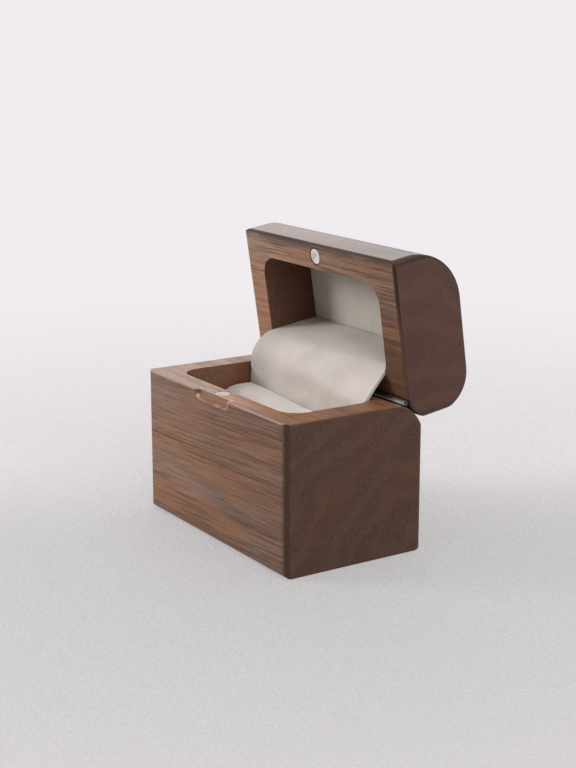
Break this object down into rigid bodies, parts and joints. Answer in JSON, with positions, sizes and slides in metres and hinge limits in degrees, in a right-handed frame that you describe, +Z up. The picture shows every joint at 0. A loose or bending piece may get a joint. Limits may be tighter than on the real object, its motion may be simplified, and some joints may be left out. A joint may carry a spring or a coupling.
{
  "type": "ring display box",
  "caption": "Small wooden ring box with a hinged rounded lid, a magnet catch, a slotted velvet ring insert and a velvet flap over the hinge.",
  "frame": {"origin": "centre of the base's flat underside, which is the mount base_underside", "axes": "+X to the right along the hinge axis, +Y to the back where the hinge is, +Z up; the lid is stored open at 81.5 degrees"},
  "size_m": [0.06, 0.0482, 0.0665],
  "materials": {
    "walnut": "satin oiled walnut, long grain across the front, end grain on the sides",
    "walnut_lid": "satin oiled walnut, a little darker than the base",
    "nickel": "nickel-plated disc magnet, fine turned face",
    "hinge_steel": "bright rolled steel",
    "card": "grey board",
    "foam": "open-cell foam",
    "velvet": "short-pile off-white velvet",
    "velvet_flap": "short-pile warm grey-white velvet",
    "flap_paper": "stiff off-white backing"
  },
  "bodies": {
    "base": {"base_block": "walnut", "base_magnet": "nickel", "hinge_leaf_base": "hinge_steel", "hinge_pin": "hinge_steel", "insert_card": "card", "front_roll_foam": "foam", "rear_roll_foam": "foam", "front_roll_velvet": "velvet", "rear_roll_velvet": "velvet", "flap_velvet": "velvet_flap", "flap_backing": "flap_paper"},
    "lid": {"lid_block": "walnut_lid", "lid_magnet": "nickel", "hinge_leaf_lid": "hinge_steel", "ceiling_card": "card", "ceiling_velvet": "velvet"}
  },
  "joints": [
    {"name": "lid_hinge", "type": "hinge", "parent": "base", "child": "lid", "pos_m": [0, 0.01355, 0.03425], "axis": [-1, 0, 0], "range_deg": [-81.5, 0], "deforming": ["flap_velvet", "flap_backing"]}
  ]
}
